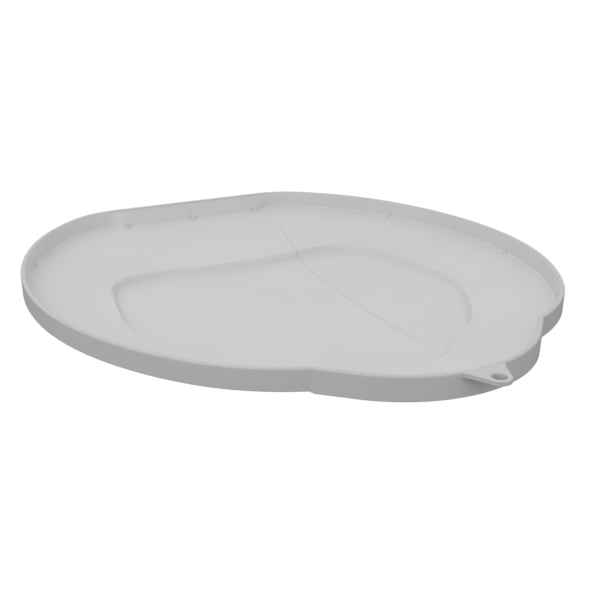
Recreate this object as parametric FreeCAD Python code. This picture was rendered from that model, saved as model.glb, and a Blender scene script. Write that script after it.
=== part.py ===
import FreeCAD, Part
import math
import os

# One-piece injection-moulded lid for a spouted pail, lying inner side up, in millimetres.
# The origin is on the surface the lid rests on, below the centre of its bounding box.
# +Y points to the straight back edge, -Y to the spout and its hanging tab, +Z up.
# The moulding is written as its named regions, which meet face to face.

# Wall and panel thicknesses
PANEL_THICK = 1.8
RIM_THICK = 3.2
RIM_FOOT = 5.0            # rim thickness at its foot, where it flares into the deck
RIM_EDGE = 0.8            # bevel along the top edges of the rim
FOOT_BEVEL = 1.6          # height of the flare at the foot of the rim

# Levels, from the resting surface up
RECESS_DEPTH = 6.0
DECK_RISE = 9.5           # the deck climbs this much from the recess border to the rim
RIM_INSIDE = 12.2         # rim height above the deck
RIM_HEIGHT = 12.5         # height of the rim's outer face
SPOUT_DROP = 1.0          # the rim reaches this much lower round the spout
FLOOR_TOP = PANEL_THICK
BORDER_TOP = FLOOR_TOP + RECESS_DEPTH
DECK_TOP = BORDER_TOP + DECK_RISE
DECK_UNDER = DECK_TOP - PANEL_THICK
RIM_TOP = DECK_TOP + RIM_INSIDE
RIM_BOTTOM = RIM_TOP - RIM_HEIGHT

# Recess
BORDER_WIDTH = 9.0        # flat border round the recess
RECESS_SLOPE = 3.0        # how far the recess wall leans in from its lip to the floor
WALL_SHIFT = 1.1          # the wall's outer face lies this far outside its inner one

# Half outlines, from the back centre line round the right side towards the spout.
# Each stretch is an arc that starts tangent to the one before it, and one more arc
# closes each outline square to the centre line.
RIM_BACK = (0.0, 197.0)
RIM_STATIONS = [
    (60.1, 197.0),        # end of the straight back edge
    (99.3, 182.5),        # back corner
    (143.3, 125.2),
    (166.4, 10.8),        # just behind the widest place
    (122.3, -104.7),
    (73.4, -141.2),       # notch where the spout begins
    (71.6, -142.4),
    (56.6, -157.2),       # spout flank, then the nose
]
LIP_BACK = (0.0, 92.0)
LIP_STATIONS = [
    (52.0, 97.5),         # the back edge of the recess bows in between its corners
    (86.0, 95.0),
    (103.0, 76.0),
    (113.5, 22.0),
    (103.0, -38.0),
    (73.0, -81.0),
    (64.1, -88.3),
    (34.0, -111.0),
]
BACK_SPANS = (0, 2)       # stretches of the half outline in each region
SIDE_SPANS = (2, 6)
SPOUT_SPANS = (6, 9)

# Hanging tab at the spout nose
TAB_THICK = 2.4
TAB_HOLE_Y = -190.8
TAB_HOLE_R = 3.75
TAB_TIP_R = 6.2
TAB_ROOT_HALF = 13.0
TAB_ROOT_Y = -179.0
TAB_NECK_HALF = 9.5
TAB_NECK_Y = -185.0

# Ledge that thickens the foot of the back wall between the two outer back nubs
LEDGE_REACH = 9.6
LEDGE_HEIGHT = 11.2
LEDGE_HALF = 57.0
LEDGE_TAPER = 10.0
LEDGE_FOOT_DROP = 0.48    # the deck has fallen this much where the ledge ends

# Small snap nubs at the foot of the rim
NUB_R = 1.3
NUB_HEIGHT = 3.0
NUB_PROUD = 1.0           # from the wall to the axis of the nub's round nose
NUB_ROOT = 4.0            # the nub's straight sides run back this far into the wall
NUBS = {
    "nub_back_centre": (0.0, "back"),
    "nub_back_right": (55.0, "back"),
    "nub_back_left": (-55.0, "back"),
    "nub_corner_right": (118.0, "right"),
    "nub_corner_left": (118.0, "left"),
    "nub_side_right": (-8.0, "right"),
    "nub_side_left": (-8.0, "left"),
}


class Arc:
    """One stretch of an outline, with its centre on the inner side when radius > 0."""

    def __init__(self, start, end, normal, radius, centre):
        self.start = start
        self.end = end
        self.normal = normal
        self.radius = radius
        self.centre = centre

    def shifted(self, inward):
        """The same stretch moved inward by a distance."""
        if self.centre is None:
            step = (self.normal[0] * inward, self.normal[1] * inward)
            start = (self.start[0] + step[0], self.start[1] + step[1])
            end = (self.end[0] + step[0], self.end[1] + step[1])
            return Arc(start, end, self.normal, None, None)
        scale = (self.radius - inward) / self.radius
        cx, cy = self.centre
        start = (cx + (self.start[0] - cx) * scale, cy + (self.start[1] - cy) * scale)
        end = (cx + (self.end[0] - cx) * scale, cy + (self.end[1] - cy) * scale)
        return Arc(start, end, None, self.radius - inward, self.centre)

    def mirrored(self):
        """The same stretch on the left side, run the same way round the outline."""
        start = (-self.end[0], self.end[1])
        end = (-self.start[0], self.start[1])
        if self.centre is None:
            return Arc(start, end, (-self.normal[0], self.normal[1]), None, None)
        return Arc(start, end, None, self.radius, (-self.centre[0], self.centre[1]))

    def edge(self, z):
        start = FreeCAD.Vector(self.start[0], self.start[1], z)
        end = FreeCAD.Vector(self.end[0], self.end[1], z)
        if self.centre is None:
            return Part.LineSegment(start, end).toShape()
        cx, cy = self.centre
        mx = (self.start[0] + self.end[0]) / 2 - cx
        my = (self.start[1] + self.end[1]) / 2 - cy
        scale = abs(self.radius) / math.hypot(mx, my)
        middle = FreeCAD.Vector(cx + mx * scale, cy + my * scale, z)
        return Part.Arc(start, middle, end).toShape()


def half_outline(start, stations):
    """Tangent arcs through the stations, clockwise from the back, starting along +X."""
    arcs = []
    heading = 0.0
    for end in stations:
        dx = end[0] - start[0]
        dy = end[1] - start[1]
        chord = math.hypot(dx, dy)
        turn = (heading - math.atan2(dy, dx)) % (2 * math.pi)
        if turn > math.pi:
            turn -= 2 * math.pi
        inner = (math.sin(heading), -math.cos(heading))
        if abs(turn) < 1e-6:
            arcs.append(Arc(start, end, inner, None, None))
        else:
            radius = chord / (2 * math.sin(turn))
            centre = (start[0] + inner[0] * radius, start[1] + inner[1] * radius)
            arcs.append(Arc(start, end, None, radius, centre))
        heading -= 2 * turn
        start = end
    radius = -start[0] / math.sin(heading)
    centre = (0.0, start[1] - math.cos(heading) * radius)
    arcs.append(Arc(start, (0.0, centre[1] - radius), None, radius, centre))
    return arcs


def shifted(arcs, inward):
    return [arc.shifted(inward) for arc in arcs]


def mirrored(arcs):
    return [arc.mirrored() for arc in reversed(arcs)]


def region(half, spans, side):
    """The stretches of one region: the right or left side, or both across the back or spout."""
    right = half[spans[0]:spans[1]]
    if side == "right":
        return right
    if side == "left":
        return mirrored(right)
    if side == "back":
        return mirrored(right) + right
    return right + mirrored(right)


def full_loop(half):
    return half + mirrored(half)


def flat_cap(rails, levels, at_end):
    corners = []
    for rail, z in zip(rails, levels):
        x, y = rail[-1].end if at_end else rail[0].start
        corners.append(FreeCAD.Vector(x, y, z))
    return Part.Face(Part.makePolygon(corners + corners[:1]))


def swept(rails, levels, closed=False):
    """Solid whose cross-section polygon has one corner on each rail, at that rail's level."""
    faces = []
    for i, rail in enumerate(rails):
        j = (i + 1) % len(rails)
        for a, b in zip(rail, rails[j]):
            faces.append(Part.makeRuledSurface(a.edge(levels[i]), b.edge(levels[j])))
    if not closed:
        faces.append(flat_cap(rails, levels, False))
        faces.append(flat_cap(rails, levels, True))
    return closed_solid(faces)


def closed_solid(faces):
    shell = Part.makeShell(faces)
    shell.sewShape()
    solid = Part.makeSolid(shell)
    if solid.Volume < 0:
        solid.reverse()
    return solid


def plate(wire, thickness):
    solid = Part.Face(wire).extrude(FreeCAD.Vector(0, 0, thickness))
    if solid.Volume < 0:
        solid.reverse()
    return solid


def rim_region(half, spans, side, bottom):
    """A stretch of the upstanding rim, with bevelled top edges and a flared foot."""
    arcs = region(half, spans, side)
    profile = [
        (0.0, bottom),
        (0.0, RIM_TOP - RIM_EDGE),
        (RIM_EDGE, RIM_TOP),
        (RIM_THICK - RIM_EDGE, RIM_TOP),
        (RIM_THICK, RIM_TOP - RIM_EDGE),
        (RIM_THICK, DECK_TOP + FOOT_BEVEL),
        (RIM_FOOT, DECK_TOP),
        (RIM_FOOT, DECK_UNDER),
        (RIM_THICK, bottom),
    ]
    rails = [shifted(arcs, inward) for inward, z in profile]
    return swept(rails, [z for inward, z in profile])


def deck_region(rim_half, lip_half, spans, side):
    """A stretch of the deck, which falls from the foot of the rim to the recess border."""
    outer = region(shifted(rim_half, RIM_FOOT), spans, side)
    inner = region(shifted(lip_half, -BORDER_WIDTH), spans, side)
    levels = [DECK_TOP, BORDER_TOP, BORDER_TOP - PANEL_THICK, DECK_UNDER]
    return swept([outer, inner, inner, outer], levels)


def recess_rings(lip_half):
    """Rings that bound the recess wall: its top and foot, inside and outside."""
    insets = [0.0, RECESS_SLOPE, RECESS_SLOPE - WALL_SHIFT, -WALL_SHIFT]
    return [full_loop(shifted(lip_half, inset)) for inset in insets]


def border_ring(lip_half):
    """Flat ring between the deck and the recess wall."""
    outer = full_loop(shifted(lip_half, -BORDER_WIDTH))
    lip, foot, foot_outside, lip_outside = recess_rings(lip_half)
    under = BORDER_TOP - PANEL_THICK
    return swept([outer, lip, lip_outside, outer], [BORDER_TOP, BORDER_TOP, under, under], True)


def recess_wall(lip_half):
    """Leaning wall of the recess, from the inner edge of the border down to the floor."""
    levels = [BORDER_TOP, FLOOR_TOP, 0.0, BORDER_TOP - PANEL_THICK]
    return swept(recess_rings(lip_half), levels, True)


def recess_floor(lip_half):
    """Flat panel inside the foot of the recess wall."""
    lip, foot, foot_outside, lip_outside = recess_rings(lip_half)
    top = Part.Face(Part.Wire([arc.edge(FLOOR_TOP) for arc in foot]))
    bottom = Part.Face(Part.Wire([arc.edge(0.0) for arc in foot_outside]))
    sides = [Part.makeRuledSurface(a.edge(FLOOR_TOP), b.edge(0.0)) for a, b in zip(foot, foot_outside)]
    return closed_solid([top, bottom] + sides)


def tab_outline(z):
    """Tongue that narrows from its root in the rim to a round tip about the hole."""
    rise = TAB_NECK_Y - TAB_HOLE_Y
    reach = math.hypot(TAB_NECK_HALF, rise)
    angle = math.atan2(rise, TAB_NECK_HALF) - math.acos(TAB_TIP_R / reach)
    side_x = TAB_TIP_R * math.cos(angle)
    side_y = TAB_HOLE_Y + TAB_TIP_R * math.sin(angle)
    root_right = FreeCAD.Vector(TAB_ROOT_HALF, TAB_ROOT_Y, z)
    neck_right = FreeCAD.Vector(TAB_NECK_HALF, TAB_NECK_Y, z)
    tip_right = FreeCAD.Vector(side_x, side_y, z)
    tip = FreeCAD.Vector(0, TAB_HOLE_Y - TAB_TIP_R, z)
    root_left = FreeCAD.Vector(-TAB_ROOT_HALF, TAB_ROOT_Y, z)
    neck_left = FreeCAD.Vector(-TAB_NECK_HALF, TAB_NECK_Y, z)
    tip_left = FreeCAD.Vector(-side_x, side_y, z)
    return Part.Wire([
        Part.LineSegment(root_left, root_right).toShape(),
        Part.LineSegment(root_right, neck_right).toShape(),
        Part.LineSegment(neck_right, tip_right).toShape(),
        Part.Arc(tip_right, tip, tip_left).toShape(),
        Part.LineSegment(tip_left, neck_left).toShape(),
        Part.LineSegment(neck_left, root_left).toShape(),
    ])


def hanging_tab(rim_half):
    low = RIM_TOP - TAB_THICK
    tongue = plate(tab_outline(low), TAB_THICK)
    hole = Part.makeCylinder(TAB_HOLE_R, TAB_THICK + 2, FreeCAD.Vector(0, TAB_HOLE_Y, low - 1))
    edges = [arc.edge(low - 1) for arc in full_loop(rim_half)]
    inside = plate(Part.Wire(edges), TAB_THICK + 2)
    return tongue.cut(hole).cut(inside).Solids[0]


def back_ledge(rim):
    """Sloped thickening at the foot of the back wall, with slanted ends."""
    wall_y = RIM_BACK[1] - RIM_THICK
    reach_y = RIM_BACK[1] - LEDGE_REACH
    foot_y = RIM_BACK[1] - RIM_FOOT
    half = LEDGE_HALF + LEDGE_TAPER
    section = [
        FreeCAD.Vector(-half, wall_y, DECK_TOP + LEDGE_HEIGHT),
        FreeCAD.Vector(-half, reach_y, DECK_TOP - LEDGE_FOOT_DROP),
        FreeCAD.Vector(-half, foot_y, DECK_TOP),
        FreeCAD.Vector(-half, wall_y, DECK_TOP + FOOT_BEVEL),
    ]
    bar = Part.Face(Part.makePolygon(section + section[:1]))
    bar = bar.extrude(FreeCAD.Vector(2 * half, 0, 0))
    plan = [
        FreeCAD.Vector(-half, wall_y, 0),
        FreeCAD.Vector(half, wall_y, 0),
        FreeCAD.Vector(LEDGE_HALF, reach_y, 0),
        FreeCAD.Vector(-LEDGE_HALF, reach_y, 0),
    ]
    ends = plate(Part.makePolygon(plan + plan[:1]), RIM_TOP)
    return bar.common(ends).cut(rim).Solids[0]


def point_on_side(rim_half, y):
    """Point and inward normal of the right inner rim face at a given y."""
    for arc in shifted(rim_half[SIDE_SPANS[0]:SIDE_SPANS[1]], RIM_THICK):
        if arc.start[1] >= y >= arc.end[1]:
            cx, cy = arc.centre
            x = cx + math.sqrt(arc.radius ** 2 - (y - cy) ** 2)
            return (x, y), ((cx - x) / arc.radius, (cy - y) / arc.radius)
    raise ValueError("no rim at y = %g" % y)


def nub_outline(x, y, nx, ny, z):
    """Round nose about (x, y) facing along (nx, ny), with straight sides behind it."""
    side_x = -ny * NUB_R
    side_y = nx * NUB_R
    left = FreeCAD.Vector(x + side_x, y + side_y, z)
    right = FreeCAD.Vector(x - side_x, y - side_y, z)
    nose = FreeCAD.Vector(x + nx * NUB_R, y + ny * NUB_R, z)
    back = FreeCAD.Vector(-nx * NUB_ROOT, -ny * NUB_ROOT, 0)
    return Part.Wire([
        Part.LineSegment(left + back, left).toShape(),
        Part.Arc(left, nose, right).toShape(),
        Part.LineSegment(right, right + back).toShape(),
        Part.LineSegment(right + back, left + back).toShape(),
    ])


def nub(rim_half, place, side, neighbours):
    """Small round-nosed rib at the foot of the rim, cut back to its neighbours."""
    if side == "back":
        x, y = place, RIM_BACK[1] - LEDGE_REACH
        nx, ny = 0.0, -1.0
    else:
        (x, y), (nx, ny) = point_on_side(rim_half, place)
    if side == "left":
        x, nx = -x, -nx
    low = DECK_UNDER if side == "back" else RIM_BOTTOM
    wire = nub_outline(x + nx * NUB_PROUD, y + ny * NUB_PROUD, nx, ny, low)
    rib = plate(wire, DECK_TOP + NUB_HEIGHT - low)
    for other in neighbours:
        rib = rib.cut(other)
    return max(rib.Solids, key=lambda solid: solid.Volume)


def build():
    rim_half = half_outline(RIM_BACK, RIM_STATIONS)
    lip_half = half_outline(LIP_BACK, LIP_STATIONS)
    spout_bottom = RIM_BOTTOM - SPOUT_DROP
    nodes = {
        "rim_back": rim_region(rim_half, BACK_SPANS, "back", RIM_BOTTOM),
        "rim_right": rim_region(rim_half, SIDE_SPANS, "right", RIM_BOTTOM),
        "rim_left": rim_region(rim_half, SIDE_SPANS, "left", RIM_BOTTOM),
        "rim_spout": rim_region(rim_half, SPOUT_SPANS, "spout", spout_bottom),
        "deck_back": deck_region(rim_half, lip_half, BACK_SPANS, "back"),
        "deck_right": deck_region(rim_half, lip_half, SIDE_SPANS, "right"),
        "deck_left": deck_region(rim_half, lip_half, SIDE_SPANS, "left"),
        "deck_spout": deck_region(rim_half, lip_half, SPOUT_SPANS, "spout"),
        "recess_border": border_ring(lip_half),
        "recess_wall": recess_wall(lip_half),
        "recess_floor": recess_floor(lip_half),
        "hanging_tab": hanging_tab(rim_half),
    }
    nodes["back_ledge"] = back_ledge(nodes["rim_back"])
    solids = list(nodes.values())
    for name, (place, side) in NUBS.items():
        nodes[name] = nub(rim_half, place, side, solids)
    return nodes


def main():
    os.makedirs("parts", exist_ok=True)
    for name, shape in build().items():
        shape.exportStep("parts/" + name + ".step")
        box = shape.BoundBox
        print("%-18s volume %9.1f  valid %s  z %.2f to %.2f  solids %d" % (
            name, shape.Volume, shape.isValid(), box.ZMin, box.ZMax, len(shape.Solids)))


main()
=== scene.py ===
import math

import bpy
import numpy as np
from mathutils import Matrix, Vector


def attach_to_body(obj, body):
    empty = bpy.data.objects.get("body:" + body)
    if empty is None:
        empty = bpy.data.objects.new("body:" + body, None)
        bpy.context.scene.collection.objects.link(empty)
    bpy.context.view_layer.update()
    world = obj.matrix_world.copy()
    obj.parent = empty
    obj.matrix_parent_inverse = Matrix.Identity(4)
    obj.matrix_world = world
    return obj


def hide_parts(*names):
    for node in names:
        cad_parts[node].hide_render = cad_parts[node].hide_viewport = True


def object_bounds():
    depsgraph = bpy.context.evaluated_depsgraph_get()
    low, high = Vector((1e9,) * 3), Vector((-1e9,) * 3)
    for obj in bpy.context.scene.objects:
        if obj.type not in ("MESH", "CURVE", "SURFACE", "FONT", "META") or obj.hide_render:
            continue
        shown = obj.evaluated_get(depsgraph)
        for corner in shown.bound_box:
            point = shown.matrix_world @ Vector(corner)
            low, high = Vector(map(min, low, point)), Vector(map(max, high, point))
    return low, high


# A one-piece moulded lid for a spouted pail, lying inner side up. Lengths are millimetres in
# the row frame and turn into metres when a mesh is made. The materials, the studio floor, the
# lamp and the camera work in metres.
MM = 0.001
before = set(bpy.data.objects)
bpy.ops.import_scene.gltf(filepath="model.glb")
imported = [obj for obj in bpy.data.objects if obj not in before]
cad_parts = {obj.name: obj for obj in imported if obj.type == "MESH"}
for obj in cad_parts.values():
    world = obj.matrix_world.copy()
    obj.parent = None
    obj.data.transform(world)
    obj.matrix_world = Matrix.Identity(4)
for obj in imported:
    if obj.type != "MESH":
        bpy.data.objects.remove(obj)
cad_low, cad_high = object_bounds()

# Levels, from the surface the lid lies on
PANEL = 1.8
FLOOR_TOP = PANEL
BORDER_TOP = 7.8
DECK_TOP = 17.3
DECK_UNDER = DECK_TOP - PANEL
RIM_BOTTOM = 17.0
SPOUT_BOTTOM = 16.0
RIM_TOP = 29.5
TAB_TOP = 29.485          # just under the rim's top, so the tab's root stays hidden in the rim

# Insets from the rim's outer face
RIM_DRAFT = 0.25          # at the foot of the outer face, which leans in a little
RIM_WALL = 3.2
RIM_FOOT = 3.7
UNDER_FOOT = 5.0          # where the underside of the deck meets the rim
SPOUT_STEP = 1.6          # length past the notch over which the lower edge steps down

# Insets from the lip of the recess
BORDER_WIDTH = 9.0
RECESS_RUN = 3.0          # the wall leans in this much from the lip to the floor
WALL_SHIFT = 1.1          # the wall's outer face lies this far outside its inner one

# Half outlines from the back round the right side, as tangent arcs through these stations
RIM_START = (0.0, 197.0)
RIM_STATIONS = [
    (60.1, 197.0), (99.3, 182.5), (143.3, 125.2), (166.4, 10.8),
    (122.3, -104.7), (73.4, -141.2), (71.6, -142.4), (56.6, -157.2),
]
LIP_START = (0.0, 92.0)
LIP_STATIONS = [
    (52.0, 97.5), (86.0, 95.0), (103.0, 76.0), (113.5, 22.0),
    (103.0, -38.0), (73.0, -81.0), (64.1, -88.3), (34.0, -111.0),
]
BACK_CORNER = (99.3, 182.5)
NOTCH = (73.4, -141.2)
BACK_POINTS = 400         # dense outline points that cover the back edge and its corner

# Cross-sections of the right half fan out from (0, CENTRE_Y). Angles are in radians.
CENTRE_Y = -10.0
EVEN_SECTIONS = 481
NOTCH_SECTIONS = 21
NOTCH_SPREAD = 0.02       # the notch's own sections reach this far each side of it
NOTCH_CLEAR = 0.0225      # no even section lies nearer to the notch
CORNER_CLEAR = 0.002      # or to the back corner, which has a section of its own

# Ledge that thickens the foot of the back wall
LEDGE_REACH = 9.6
LEDGE_HALF = 69.0
LEDGE_FADE = 12.0         # length over which each end dies out
LEDGE_SECTIONS = 139
LEDGE_BEND = 0.8
LEDGE_BURIED = 2.0        # inset of the faces that are hidden in the rim

# Snap nubs: x along the back, and y along the sides
NUB_RADIUS = 1.3
NUB_BACK = 3.4            # length of the straight sides behind the round nose
NUB_PROUD = 1.0           # from the wall or the ledge's foot to the axis of the nose
NUB_TOP = DECK_TOP + 2.95
NUB_BASE_BACK = DECK_TOP - 1.2     # both bases are hidden in the moulding
NUB_BASE_SIDE = RIM_BOTTOM + 0.05
NUBS_BACK = {"left": -55.0, "centre": 0.0, "right": 55.0}
NUBS_SIDE = {"corner": 118.0, "side": -8.0}

# Hanging tab at the spout nose
TAB_THICK = 2.4
TAB_HOLE_Y = -190.8
TAB_HOLE_R = 3.75
TAB_TIP_R = 6.2
TAB_NECK = (9.5, -185.0)  # the tip's straight side aims at this point
TAB_CORNER = (9.7, -184.6)
TAB_BEND = 2.2            # how far the bend at the corner reaches along each side
TAB_ROOT = (13.0, -179.2)
TAB_SECTIONS = 180
TAB_EDGE = 0.45

# The flow mark, in metres: x = FLOW_X + FLOW_BOW * (y - FLOW_Y) ** 2
FLOW_X, FLOW_Y = 0.0322, -0.050
FLOW_BOW = 0.70
FLOW_HALF_WIDTH = 0.0011
FLOW_FROM_Y, FLOW_TO_Y = -0.093, 0.150
FLOW_TINT = 0.86

# Painted shade: the top of the rim and the tab is darker than the panel, by height in metres,
# standing in for the shade on its rounded flanks
RIM_SHADE_FULL = 0.0291
RIM_SHADE_NONE = 0.0279
RIM_SHADE_TINT = 0.86

# Painted shade on the ledge too, darkening it to the walls' tone although its slope catches more
# light. It fades out this many metres from the middle of the lid
LEDGE_SHADE_HALF = 0.064
LEDGE_SHADE_FADE = 0.008
LEDGE_SHADE_TINT = 0.93


# ---------------------------------------------------------------- outlines

def inward(heading):
    return np.array([np.sin(heading), -np.cos(heading)])


def trace(start, stations, step=0.4):
    """Dense points and inward normals along tangent arcs, clockwise from the back centre."""
    points, normals = [], []
    here = np.array(start)
    heading = 0.0
    legs = [np.array(s) for s in stations] + [None]
    for end in legs:
        normal = inward(heading)
        if end is None:
            radius = -here[0] / math.sin(heading)
            end = np.array([0.0, here[1] + normal[1] * radius - radius])
            turn = (heading + math.pi) / 2
        else:
            chord = end - here
            turn = (heading - math.atan2(chord[1], chord[0])) % (2 * math.pi)
            turn = turn - 2 * math.pi if turn > math.pi else turn
        length = float(np.linalg.norm(end - here))
        count = max(4, int(length / step))
        for t in np.linspace(0, 1, count, endpoint=False):
            if abs(turn) < 1e-6:
                points.append(here + (end - here) * t)
                normals.append(normal)
                continue
            radius = length / (2 * math.sin(turn))
            now = inward(heading - 2 * turn * t)
            points.append(here + normal * radius - now * radius)
            normals.append(now)
        heading -= 2 * turn
        here = end
    points.append(here)
    normals.append(inward(heading))
    return np.array(points), np.array(normals)


def angle_of(x, y):
    """Clockwise angle about the middle of the lid, from the back."""
    return np.arctan2(x, y - CENTRE_Y)


def stations():
    """Angles of the cross-sections over the right half, closer together at the notch."""
    notch = float(angle_of(*NOTCH))
    corner = float(angle_of(*BACK_CORNER))
    fine = notch + np.linspace(-NOTCH_SPREAD, NOTCH_SPREAD, NOTCH_SECTIONS)
    even = np.linspace(0, math.pi, EVEN_SECTIONS)
    clear = (abs(even - notch) > NOTCH_CLEAR) & (abs(even - corner) > CORNER_CLEAR)
    return np.sort(np.concatenate([even[clear], fine, [corner]]))


HALF = stations()


def around(start, outline_stations):
    """Point and inward normal where each cross-section meets an outline, all the way round."""
    points, normals = trace(start, outline_stations)
    angles = angle_of(points[:, 0], points[:, 1])
    angles[-1] = math.pi
    x, y = (np.interp(HALF, angles, points[:, k]) for k in (0, 1))
    nx, ny = (np.interp(HALF, angles, normals[:, k]) for k in (0, 1))
    inner = slice(1, -1)
    x = np.concatenate([x, -x[inner][::-1]])
    y = np.concatenate([y, y[inner][::-1]])
    nx = np.concatenate([nx, -nx[inner][::-1]])
    ny = np.concatenate([ny, ny[inner][::-1]])
    size = np.hypot(nx, ny)
    return np.stack([x, y], 1), np.stack([nx / size, ny / size], 1)


RIM_POINTS, RIM_NORMALS = around(RIM_START, RIM_STATIONS)
LIP_POINTS, LIP_NORMALS = around(LIP_START, LIP_STATIONS)
COUNT = len(RIM_POINTS)


def ring(points, normals, inset, z):
    """A loop of 3-D points at an inset from an outline. Inset and z may vary round the loop."""
    flat = points + normals * np.reshape(inset, (-1, 1))
    return np.column_stack([flat, np.broadcast_to(np.asarray(z, float), len(flat))])


def rim_ring(inset, z):
    return ring(RIM_POINTS, RIM_NORMALS, inset, z)


def lip_ring(inset, z):
    return ring(LIP_POINTS, LIP_NORMALS, inset, z)


def smooth(t):
    t = np.clip(t, 0, 1)
    return t * t * (3 - 2 * t)


# ---------------------------------------------------------------- cross-section

def unit(v):
    return v / np.maximum(np.linalg.norm(v, axis=-1, keepdims=True), 1e-9)


def rounded(before, corner, after, trim, steps):
    """Loops that turn a corner in a smooth bend which leaves each straight run at trim."""
    start = corner + unit(before - corner) * trim
    end = corner + unit(after - corner) * trim
    bend = []
    for t in np.linspace(0, 1, steps + 1):
        bend.append((1 - t) ** 2 * start + 2 * t * (1 - t) * corner + t * t * end)
    return bend


def cross_section(corners):
    """Loops along the section. Each corner is (name, loop, trim, steps, runs after it).

    Returns the loops and, for each named corner, the index of the loop in its middle.
    """
    loops, middle = [], {}
    for i in range(1, len(corners) - 1):
        name, corner, trim, steps, runs = corners[i]
        bend = rounded(corners[i - 1][1], corner, corners[i + 1][1], trim, steps)
        middle[name] = len(loops) + steps // 2
        loops += bend
        if runs:
            following = corners[i + 1]
            nearest = following[1] + unit(corner - following[1]) * following[2]
            for t in np.linspace(0, 1, runs + 2)[1:-1]:
                loops.append(bend[-1] * (1 - t) + nearest * t)
    return loops, middle


def scaled_to_centre(loop, scale):
    centre = np.array([0.0, CENTRE_Y, 0.0])
    out = centre + (loop - centre) * scale
    out[:, 2] = loop[:, 2]
    return out


def grid_normals(loops):
    """Normal at every grid point, the loops running from the centre over the rim and back."""
    grid = np.stack(loops, 1)
    following = np.roll(grid, -1, 0)
    face = np.cross(following[:, :-1] - grid[:, 1:], following[:, 1:] - grid[:, :-1])
    total = np.zeros_like(grid)
    for stations_on, columns in ((0, 0), (0, 1), (1, 0), (1, 1)):
        part = np.roll(face, stations_on, 0)
        total[:, columns:columns + face.shape[1]] += part
    return unit(total)


def spout_depth():
    """Level of the rim's lower edge round the lid: it steps down between the notches."""
    y = RIM_POINTS[:, 1]
    along = (NOTCH[1] - y) / SPOUT_STEP
    return RIM_BOTTOM + (SPOUT_BOTTOM - RIM_BOTTOM) * smooth(along)


def moulding_section():
    """The whole section, from the middle of the floor over the rim and back underneath.

    Each row has the corner's name, its loop, the trim and steps of its bend, and the number
    of loops between it and the next corner.
    """
    low = spout_depth()
    foot = lip_ring(RECESS_RUN, FLOOR_TOP)
    under = lip_ring(RECESS_RUN - WALL_SHIFT, 0.0)
    corners = [
        ("", scaled_to_centre(foot, 0.9), 0, 0, 0),
        ("foot", foot, 0.9, 6, 0),
        ("lip", lip_ring(0, BORDER_TOP), 1.9, 8, 1),
        ("crease", lip_ring(-BORDER_WIDTH, BORDER_TOP), 2.0, 8, 6),
        ("rim_foot", rim_ring(RIM_FOOT, DECK_TOP), 1.4, 8, 2),
        ("rim_inner", rim_ring(RIM_WALL, RIM_TOP), 1.5, 8, 0),
        ("rim_outer", rim_ring(0.0, RIM_TOP), 1.4, 8, 2),
        ("rim_low", rim_ring(RIM_DRAFT, low), 0.5, 4, 1),
        ("skirt", rim_ring(RIM_WALL, low), 0.08, 2, 0),
        ("under_foot", rim_ring(UNDER_FOOT, DECK_UNDER), 0.5, 2, 6),
        ("under_crease", lip_ring(-BORDER_WIDTH, BORDER_TOP - PANEL), 4.5, 8, 1),
        ("under_lip", lip_ring(-WALL_SHIFT, BORDER_TOP - PANEL), 1.2, 6, 0),
        ("under", under, 1.3, 6, 0),
        ("", scaled_to_centre(under, 0.9), 0, 0, 0),
    ]
    return cross_section(corners)


# ---------------------------------------------------------------- meshes

def make_piece(name, vertices, faces, normals=None):
    mesh = bpy.data.meshes.new(name)
    mesh.from_pydata([tuple(v * MM) for v in vertices], [], faces)
    mesh.polygons.foreach_set("use_smooth", [True] * len(mesh.polygons))
    if normals is not None:
        mesh.normals_split_custom_set_from_vertices([tuple(n) for n in normals])
    mesh.update()
    piece = bpy.data.objects.new(name, mesh)
    bpy.context.scene.collection.objects.link(piece)
    return piece


def attach(piece, *nodes, material=None):
    piece.data.materials.append(material or PLASTIC)
    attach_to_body(piece, "root")
    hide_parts(*nodes)


def tube_faces(rows, width, ring=False, flip=False):
    """Faces of a tube of loops with width points each: a closed ring, or with flat ends."""
    faces = []
    for i in range(rows if ring else rows - 1):
        j = (i + 1) % rows
        for k in range(width):
            m = (k + 1) % width
            faces.append((i * width + k, j * width + k, j * width + m, i * width + m))
    if not ring:
        last = (rows - 1) * width
        faces.append(tuple(range(width)))
        faces.append(tuple(last + k for k in reversed(range(width))))
    if flip:
        faces = [face[:1] + face[:0:-1] for face in faces]
    return faces


def region_piece(name, grid, normals, columns, span=None):
    """Closed solid of the grid's given columns, all the way round or over a span of sections."""
    whole = span is None
    rows = range(COUNT) if whole else range(span[0], span[1] + 1)
    rows = [i % COUNT for i in rows]
    vertices = grid[rows][:, columns].reshape(-1, 3)
    shades = normals[rows][:, columns].reshape(-1, 3)
    return make_piece(name, vertices, tube_faces(len(rows), len(columns), whole), shades)


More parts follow.
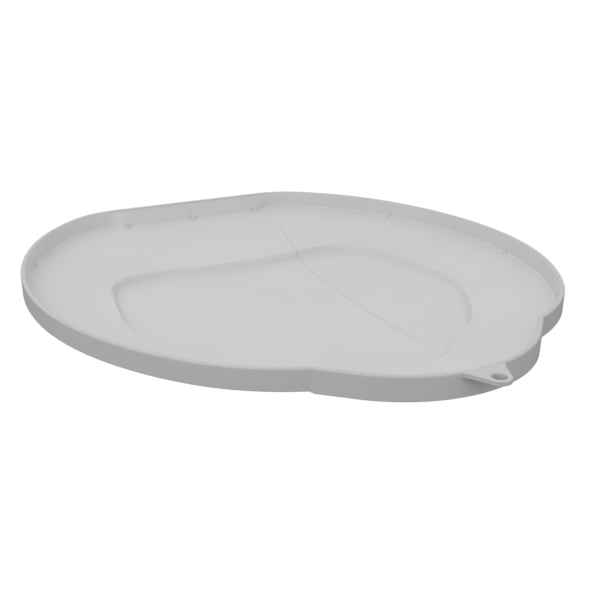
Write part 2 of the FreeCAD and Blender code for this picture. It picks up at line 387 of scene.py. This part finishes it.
def floor_piece(name, grid, normals, top_seam, bottom_seam):
    """The recess floor: its skin inside the seams, closed in the middle, top and underside."""
    scales = (0.12, 0.35, 0.6, 0.8, 0.93)
    loops = [scaled_to_centre(grid[:, 0], s) for s in scales]
    loops += [grid[:, c] for c in range(top_seam + 1)]
    shades = [np.tile([0.0, 0.0, 1.0], (COUNT, 1))] * len(scales)
    shades += [normals[:, c] for c in range(top_seam + 1)]
    loops += [grid[:, c] for c in range(bottom_seam, grid.shape[1])]
    shades += [normals[:, c] for c in range(bottom_seam, grid.shape[1])]
    loops += [scaled_to_centre(grid[:, -1], s) for s in reversed(scales)]
    shades += [np.tile([0.0, 0.0, -1.0], (COUNT, 1))] * len(scales)
    width = len(loops)
    vertices = np.stack(loops, 1).reshape(-1, 3)
    shades = np.stack(shades, 1).reshape(-1, 3)
    faces = []
    for i in range(COUNT):
        j = (i + 1) % COUNT
        for k in range(width - 1):
            faces.append((i * width + k, j * width + k, j * width + k + 1, i * width + k + 1))
    above, below = len(vertices), len(vertices) + 1
    middle = [[0.0, CENTRE_Y, FLOOR_TOP], [0.0, CENTRE_Y, 0.0]]
    for i in range(COUNT):
        j = (i + 1) % COUNT
        faces.append((above, j * width, i * width))
        faces.append((below, (i + 1) * width - 1, (j + 1) * width - 1))
    vertices = np.concatenate([vertices, middle])
    shades = np.concatenate([shades, [[0, 0, 1.0], [0, 0, -1.0]]])
    return make_piece(name, vertices, faces, shades)


def moulded_regions():
    """One closed piece for each region of the floor, recess, deck and rim."""
    loops, mid = moulding_section()
    grid = np.stack(loops, 1)
    # A loop beyond each end gives the end loops their normals
    skin = [scaled_to_centre(loops[0], 0.95)] + loops + [scaled_to_centre(loops[-1], 0.95)]
    normals = grid_normals(skin)[:, 1:-1]
    corner = int(np.argmin(abs(HALF - angle_of(*BACK_CORNER))))
    notch = int(np.argmin(abs(HALF - angle_of(*NOTCH))))
    spans = {
        "back": (-corner, corner),
        "right": (corner, notch),
        "spout": (notch, COUNT - notch),
        "left": (COUNT - notch, COUNT - corner),
    }

    def columns(first, last):
        return list(range(mid[first], mid[last] + 1))

    attach(floor_piece("moulded_recess_floor", grid, normals, mid["foot"], mid["under"]),
           "recess_floor")
    wall = columns("foot", "lip") + columns("under_lip", "under")
    attach(region_piece("moulded_recess_wall", grid, normals, wall), "recess_wall")
    border = columns("lip", "crease") + columns("under_crease", "under_lip")
    attach(region_piece("moulded_recess_border", grid, normals, border), "recess_border")
    deck = columns("crease", "rim_foot") + columns("under_foot", "under_crease")
    rim = columns("rim_foot", "under_foot")
    for side, span in spans.items():
        attach(region_piece("moulded_deck_" + side, grid, normals, deck, span), "deck_" + side)
        attach(region_piece("moulded_rim_" + side, grid, normals, rim, span), "rim_" + side)


# ---------------------------------------------------------------- ledge, nubs and tab

def deck_level(y):
    """Height of the deck's top at a y near the middle of the back edge."""
    crease_y = LIP_START[1] + BORDER_WIDTH
    foot_y = RIM_START[1] - RIM_FOOT
    return DECK_TOP - (foot_y - y) * (DECK_TOP - BORDER_TOP) / (foot_y - crease_y)


def back_ledge():
    """Sloped thickening of the back wall, which dies out towards both ends."""
    xs = np.linspace(-LEDGE_HALF, LEDGE_HALF, LEDGE_SECTIONS)
    grow = smooth((LEDGE_HALF - abs(xs)) / LEDGE_FADE)
    outline = trace(RIM_START, RIM_STATIONS)[0][:BACK_POINTS]
    line = np.interp(abs(xs), outline[:, 0], outline[:, 1])

    def rail(inset, z):
        return np.column_stack([xs, line - inset, np.broadcast_to(z, len(xs))])

    # The foot draws back to the wall, and follows the outline's bend, at the ends
    reach = RIM_FOOT + (LEDGE_REACH - RIM_FOOT) * grow
    foot_level = deck_level(line - reach) + (RIM_START[1] - line)
    above = rail(RIM_WALL + 0.02, RIM_TOP - 0.6)
    head = rail(RIM_WALL + 0.04, RIM_TOP - 1.3)
    foot = rail(reach, foot_level)
    beyond = rail(reach + 3.0, foot_level - 0.36)
    head_bend = rounded(above, head, foot, LEDGE_BEND, 6)
    foot_bend = rounded(head, foot, beyond, LEDGE_BEND, 8)
    slope = [head_bend[-1] * (1 - t) + foot_bend[0] * t for t in (0.25, 0.5, 0.75)]
    hidden = [
        rail(reach + 1.0, foot_level - 1.2),
        rail(LEDGE_BURIED, DECK_TOP - 1.0),
        rail(LEDGE_BURIED, RIM_TOP - 1.2),
    ]
    solid = np.stack(head_bend + slope + foot_bend + hidden, 1)
    faces = tube_faces(*solid.shape[:2], flip=True)
    # The ledge takes the material with painted shade that darkens it
    attach(make_piece("moulded_back_ledge", solid.reshape(-1, 3), faces), "back_ledge",
           material=LEDGE_SHADED_PLASTIC)


def nub(name, x, y, nx, ny, base):
    """Small round-nosed rib: a half-round front, straight sides behind, a flared foot."""
    # Height of each loop, and how wide the nub is there
    levels = [
        (base, 1.3), (DECK_TOP - 0.1, 1.25), (DECK_TOP + 0.4, 1.08), (DECK_TOP + 1.0, 1.0),
        (NUB_TOP - 1.0, 0.97), (NUB_TOP - 0.45, 0.9), (NUB_TOP - 0.15, 0.75), (NUB_TOP, 0.45),
    ]
    turns = np.linspace(-math.pi / 2, math.pi / 2, 17)
    vertices = []
    for z, scale in levels:
        radius = NUB_RADIUS * scale
        outline = [(math.sin(a) * radius, math.cos(a) * radius) for a in turns]
        for u, v in [(-radius, -NUB_BACK)] + outline + [(radius, -NUB_BACK)]:
            vertices.append([x - ny * u + nx * v, y + nx * u + ny * v, z])
    faces = tube_faces(len(levels), len(turns) + 2)
    attach(make_piece("moulded_" + name, np.array(vertices), faces), name)


def nubs():
    """Three nubs along the back ledge, and two at the foot of the rim on each side."""
    for place, x in NUBS_BACK.items():
        y = RIM_START[1] - LEDGE_REACH - NUB_PROUD
        nub("nub_back_" + place, x, y, 0.0, -1.0, NUB_BASE_BACK)
    points, normals = trace(RIM_START, RIM_STATIONS)
    for place, y in NUBS_SIDE.items():
        near = int(np.argmin(abs(points[:, 1] - y)))
        nx, ny = normals[near]
        x, y = points[near] + normals[near] * (RIM_WALL + NUB_PROUD)
        nub("nub_%s_right" % place, x, y, nx, ny, NUB_BASE_SIDE)
        nub("nub_%s_left" % place, -x, y, -nx, ny, NUB_BASE_SIDE)


def tab_outline(angles):
    """Distance from the hole's centre to the tongue's edge, at each angle about the hole."""
    dx, dy = TAB_NECK[0], TAB_NECK[1] - TAB_HOLE_Y
    touch = math.atan2(dy, dx) - math.acos(TAB_TIP_R / math.hypot(dx, dy))
    tip = [np.array([math.cos(a), math.sin(a)]) * TAB_TIP_R
           for a in np.linspace(-math.pi / 2, touch, 24)]
    hole = np.array([0.0, TAB_HOLE_Y])
    corner, root = np.array(TAB_CORNER) - hole, np.array(TAB_ROOT) - hole
    bend = [b[0] for b in rounded(tip[-1][None], corner[None], root[None], TAB_BEND, 10)]
    side = np.array(tip + bend + [root, np.array([0.0, root[1]])])
    dense = np.concatenate([np.linspace(a, b, 12, endpoint=False)
                            for a, b in zip(side[:-1], side[1:])] + [side[-1:]])
    turns = np.arctan2(dense[:, 1], dense[:, 0])
    order = np.argsort(turns)
    mirrored = np.arctan2(np.sin(angles), abs(np.cos(angles)))
    return np.interp(mirrored, turns[order], np.hypot(dense[:, 0], dense[:, 1])[order])


def hanging_tab():
    """Flat tongue at the spout nose, with a round hole and softened edges."""
    angles = np.linspace(-math.pi, math.pi, TAB_SECTIONS, endpoint=False)
    angles += math.pi / TAB_SECTIONS
    reach = tab_outline(angles)
    low = TAB_TOP - TAB_THICK

    def loop(distance, z):
        return np.column_stack([np.cos(angles) * distance,
                                TAB_HOLE_Y + np.sin(angles) * distance,
                                np.full(TAB_SECTIONS, z)])

    corners = [loop(TAB_HOLE_R, TAB_TOP), loop(reach, TAB_TOP),
               loop(reach, low), loop(TAB_HOLE_R, low)]
    loops = []
    for i, corner in enumerate(corners):
        after = corners[(i + 1) % 4]
        loops += rounded(corners[i - 1], corner, after, TAB_EDGE, 5)
        if i in (0, 2):
            start = corner + unit(after - corner) * TAB_EDGE
            end = after + unit(corner - after) * TAB_EDGE
            loops += [start * (1 - t) + end * t for t in (0.33, 0.67)]
    grid = np.stack(loops, 1)
    faces = tube_faces(*grid.shape[:2], ring=True, flip=True)
    attach(make_piece("moulded_hanging_tab", grid.reshape(-1, 3), faces), "hanging_tab")


# ---------------------------------------------------------------- materials

def math_node(tree, operation, first, second):
    """Output of a Math node whose inputs are numbers or other nodes' outputs."""
    node = tree.nodes.new("ShaderNodeMath")
    node.operation = operation
    for socket, value in zip(node.inputs, (first, second)):
        if isinstance(value, float):
            socket.default_value = value
        else:
            tree.links.new(value, socket)
    return node.outputs[0]


def fade(tree, value, full, gone):
    """1 at full and beyond it, falling to 0 at gone, whichever of the two is larger."""
    node = tree.nodes.new("ShaderNodeMapRange")
    node.inputs["From Min"].default_value = full
    node.inputs["From Max"].default_value = gone
    node.inputs["To Min"].default_value = 1.0
    node.inputs["To Max"].default_value = 0.0
    tree.links.new(value, node.inputs["Value"])
    return node.outputs["Result"]


def tinted(tree, colour, mask, tint):
    """The colour multiplied by a grey tint where the mask is 1."""
    node = tree.nodes.new("ShaderNodeMixRGB")
    node.blend_type = "MULTIPLY"
    node.inputs["Color2"].default_value = (tint, tint, tint, 1)
    tree.links.new(mask, node.inputs["Fac"])
    tree.links.new(colour, node.inputs["Color1"])
    return node.outputs["Color"]


def flow_line(tree, x, y):
    """1 along the faint curved flow mark that crosses the deck and the recess floor."""
    along = math_node(tree, "SUBTRACT", y, FLOW_Y)
    bow = math_node(tree, "MULTIPLY", math_node(tree, "MULTIPLY", along, along), FLOW_BOW)
    line = math_node(tree, "ADD", bow, FLOW_X)
    away = math_node(tree, "ABSOLUTE", math_node(tree, "SUBTRACT", x, line), 0.0)
    ends = math_node(tree, "MULTIPLY", math_node(tree, "GREATER_THAN", y, FLOW_FROM_Y),
                     math_node(tree, "LESS_THAN", y, FLOW_TO_Y))
    return math_node(tree, "MULTIPLY", fade(tree, away, 0.0, FLOW_HALF_WIDTH), ends)


def noise(tree, place, scale, detail):
    node = tree.nodes.new("ShaderNodeTexNoise")
    node.inputs["Scale"].default_value = scale
    node.inputs["Detail"].default_value = detail
    tree.links.new(place, node.inputs["Vector"])
    return node.outputs["Fac"]


def plastic(name, ledge_shade=False):
    """Satin off-white polypropylene: faint mottling, flow mark, fine moulded texture, and
    painted shade on the rim's top and, if asked, on the ledge.
    """
    material = bpy.data.materials.new(name)
    material.use_nodes = True
    tree = material.node_tree
    nodes, links = tree.nodes, tree.links
    shader = nodes["Principled BSDF"]
    place = nodes.new("ShaderNodeTexCoord").outputs["Object"]
    split = nodes.new("ShaderNodeSeparateXYZ")
    links.new(place, split.inputs["Vector"])
    x, y, z = (split.outputs[axis] for axis in "XYZ")

    mottle = noise(tree, place, 14, 3)
    tone = nodes.new("ShaderNodeValToRGB")
    tone.color_ramp.elements[0].position = 0.3
    tone.color_ramp.elements[1].position = 0.7
    tone.color_ramp.elements[0].color = (0.635, 0.635, 0.630, 1)
    tone.color_ramp.elements[1].color = (0.665, 0.665, 0.660, 1)
    links.new(mottle, tone.inputs["Fac"])
    colour = tinted(tree, tone.outputs["Color"], flow_line(tree, x, y), FLOW_TINT)
    # Painted shade: darker at the top of the rim and the tab, for the shade on the rounded top's
    # flanks
    colour = tinted(tree, colour, fade(tree, z, RIM_SHADE_FULL, RIM_SHADE_NONE), RIM_SHADE_TINT)
    # Painted shade: the ledge darker, so its more brightly lit slope looks no lighter than the
    # walls
    if ledge_shade:
        across = math_node(tree, "ABSOLUTE", x, 0.0)
        ledge_shade_mask = fade(tree, across, LEDGE_SHADE_HALF - LEDGE_SHADE_FADE, LEDGE_SHADE_HALF)
        colour = tinted(tree, colour, ledge_shade_mask, LEDGE_SHADE_TINT)
    links.new(colour, shader.inputs["Base Color"])

    gloss = nodes.new("ShaderNodeMapRange")
    gloss.inputs["To Min"].default_value = 0.38
    gloss.inputs["To Max"].default_value = 0.5
    links.new(mottle, gloss.inputs["Value"])
    links.new(gloss.outputs["Result"], shader.inputs["Roughness"])
    bump = nodes.new("ShaderNodeBump")
    bump.inputs["Strength"].default_value = 0.06
    bump.inputs["Distance"].default_value = 0.0002
    links.new(noise(tree, place, 900, 2), bump.inputs["Height"])
    links.new(bump.outputs["Normal"], shader.inputs["Normal"])
    shader.inputs["IOR"].default_value = 1.49
    return material


# ---------------------------------------------------------------- floor, light and camera

def white_to_camera(tree, lighting, seen, output):
    """Show a plain white shader to the camera, and let another one light the object."""
    path = tree.nodes.new("ShaderNodeLightPath")
    mix = tree.nodes.new("ShaderNodeMixShader")
    tree.links.new(path.outputs["Is Camera Ray"], mix.inputs["Fac"])
    tree.links.new(lighting.outputs[0], mix.inputs[1])
    tree.links.new(seen.outputs[0], mix.inputs[2])
    tree.links.new(mix.outputs["Shader"], tree.nodes[output].inputs["Surface"])


def studio_world():
    world = bpy.data.worlds.new("studio")
    bpy.context.scene.world = world
    world.use_nodes = True
    tree = world.node_tree
    sky = tree.nodes["Background"]
    sky.inputs["Color"].default_value = (1, 1, 1, 1)
    sky.inputs["Strength"].default_value = 0.79
    backdrop = tree.nodes.new("ShaderNodeBackground")
    backdrop.inputs["Color"].default_value = (1, 1, 1, 1)
    white_to_camera(tree, sky, backdrop, "World Output")


def studio_floor():
    material = bpy.data.materials.new("pale_floor")
    material.use_nodes = True
    tree = material.node_tree
    shader = tree.nodes["Principled BSDF"]
    shader.inputs["Base Color"].default_value = (0.24, 0.24, 0.24, 1)
    shader.inputs["Roughness"].default_value = 1.0
    shader.inputs["Specular IOR Level"].default_value = 0.0
    bright = tree.nodes.new("ShaderNodeEmission")
    bright.inputs["Strength"].default_value = 1.0
    white_to_camera(tree, shader, bright, "Material Output")

    # Metres: wide enough to reach the horizon, and a hair below the lid
    half = 60.0
    level = cad_low[2] - 0.0002
    corners = [(-half, -half, level), (half, -half, level), (half, half, level),
               (-half, half, level)]
    mesh = bpy.data.meshes.new("studio_floor")
    mesh.from_pydata(corners, [], [(0, 1, 2, 3)])
    mesh.materials.append(material)
    floor = bpy.data.objects.new("studio_floor", mesh)
    bpy.context.scene.collection.objects.link(floor)


def studio_lamp():
    """A large soft lamp above the front left, aimed at the lid, in metres and watts."""
    lamp = bpy.data.lights.new("overhead", "AREA")
    lamp.shape = "RECTANGLE"
    lamp.size, lamp.size_y = 1.6, 1.2
    lamp.energy = 5.0
    light = bpy.data.objects.new("overhead", lamp)
    light.location = (-0.85, -0.5, 1.2)
    light.rotation_euler = (-light.location).to_track_quat("-Z", "Y").to_euler()
    light.visible_camera = False
    bpy.context.scene.collection.objects.link(light)


def camera():
    """Looks down at the lid from the front left, with the spout nearest."""
    lens = bpy.data.cameras.new("camera")
    lens.sensor_width = 36.0
    lens.lens = 54.9
    lens.clip_start = 0.01
    lens.clip_end = 200
    eye = bpy.data.objects.new("camera", lens)
    target = Vector((-30.7, -47.6, 29.5)) * MM
    azimuth, elevation, distance = math.radians(-28.0), 0.34136, 0.5204
    back = Vector((math.sin(azimuth) * math.cos(elevation),
                   -math.cos(azimuth) * math.cos(elevation), math.sin(elevation)))
    eye.location = target + back * distance
    eye.rotation_mode = "QUATERNION"
    eye.rotation_quaternion = (-back).to_track_quat("-Z", "Y")
    bpy.context.scene.collection.objects.link(eye)
    bpy.context.scene.camera = eye
    bpy.context.scene.view_settings.view_transform = "Standard"


PLASTIC = plastic("satin_polypropylene")
# The same plastic with painted shade that darkens the ledge
LEDGE_SHADED_PLASTIC = plastic("ledge_shaded_polypropylene", ledge_shade=True)
moulded_regions()
back_ledge()
nubs()
hanging_tab()
studio_world()
studio_floor()
studio_lamp()
camera()
